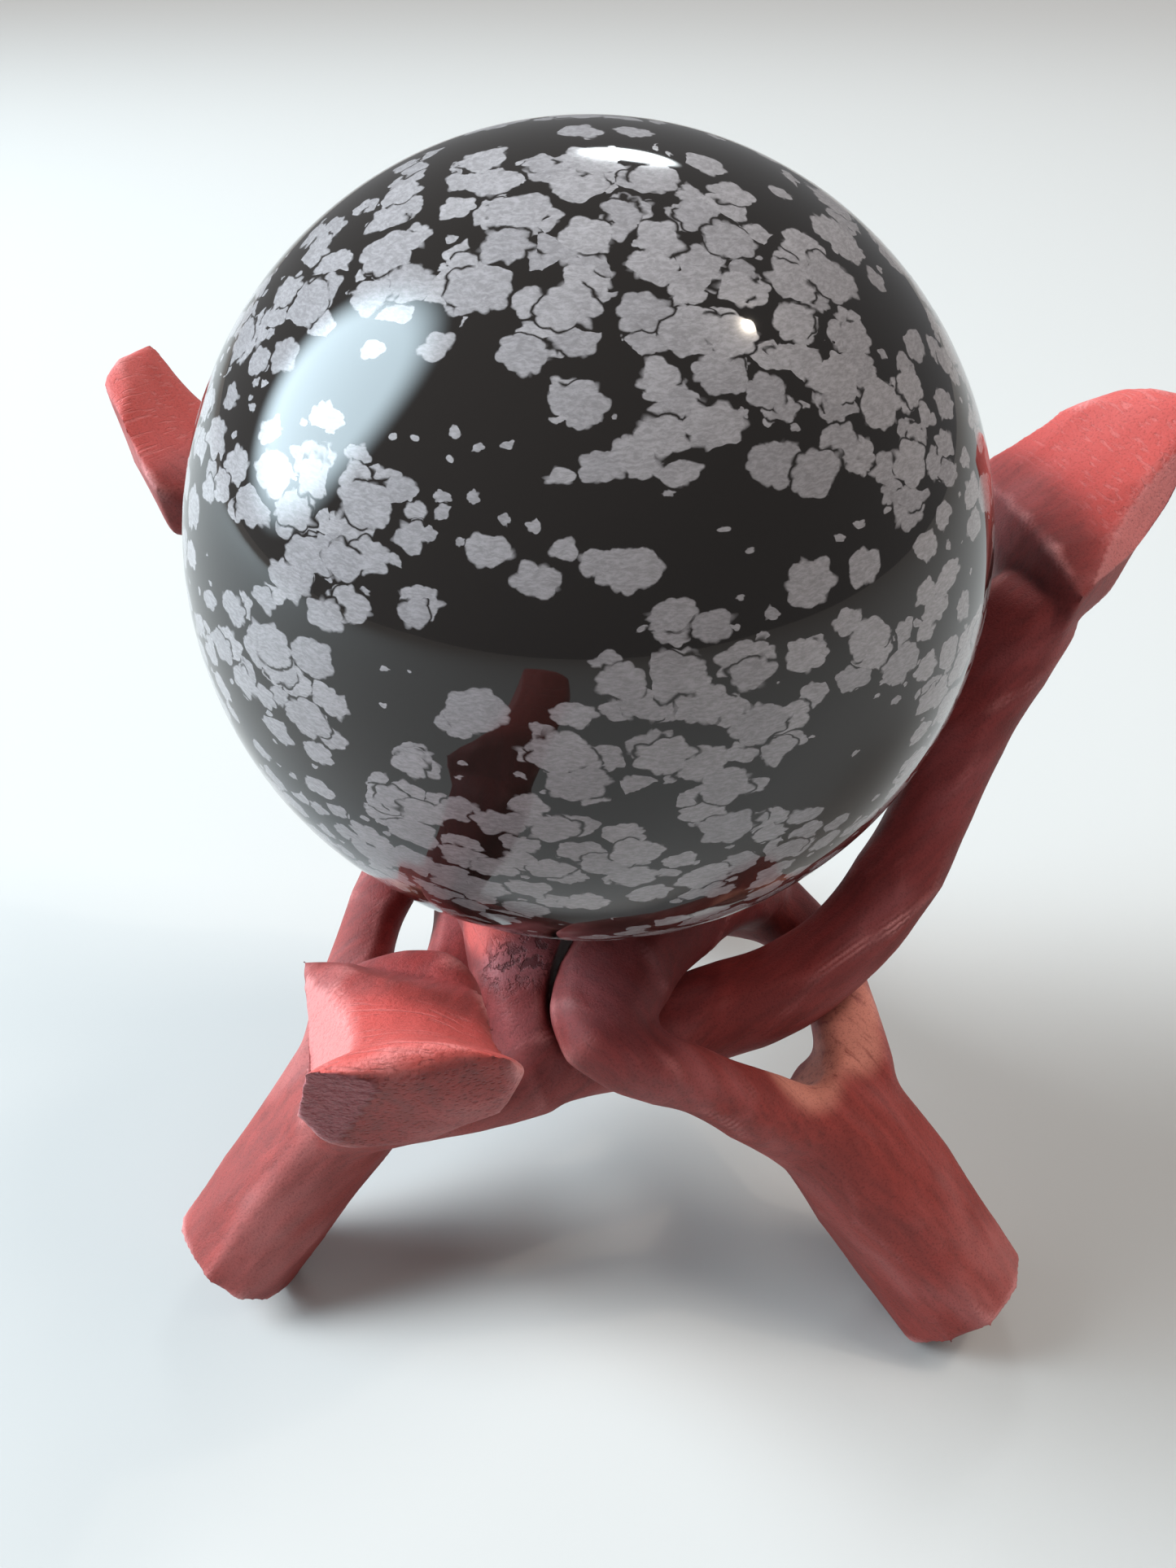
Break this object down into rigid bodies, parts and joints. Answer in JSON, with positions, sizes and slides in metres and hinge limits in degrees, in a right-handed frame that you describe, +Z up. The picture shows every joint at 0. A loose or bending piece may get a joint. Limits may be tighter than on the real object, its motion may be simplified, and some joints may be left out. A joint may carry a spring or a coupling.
{
  "type": "stone sphere on a folding wooden stand",
  "caption": "Polished snowflake obsidian sphere resting on a carved wooden stand of interlocked legs with scooped, flared heads.",
  "frame": {"origin": "on the table, under the middle of the object's box", "axes": "+Z up; +X to the picture's right; -Y towards its camera"},
  "size_m": [0.1016, 0.101, 0.0972],
  "materials": {
    "stone": null,
    "wood_right": "red-brown stained carved hardwood, matt, with tool facets",
    "wood_back": "red-brown stained carved hardwood, matt, with pale cut faces",
    "wood_front": "orange-red stained carved hardwood, matt, with fine scrape lines and rough end grain"
  },
  "bodies": {
    "root": {"stone_sphere": "stone", "leg_right_head": "wood_right", "leg_back_head": "wood_back", "leg_front_head": "wood_front"}
  },
  "joints": []
}
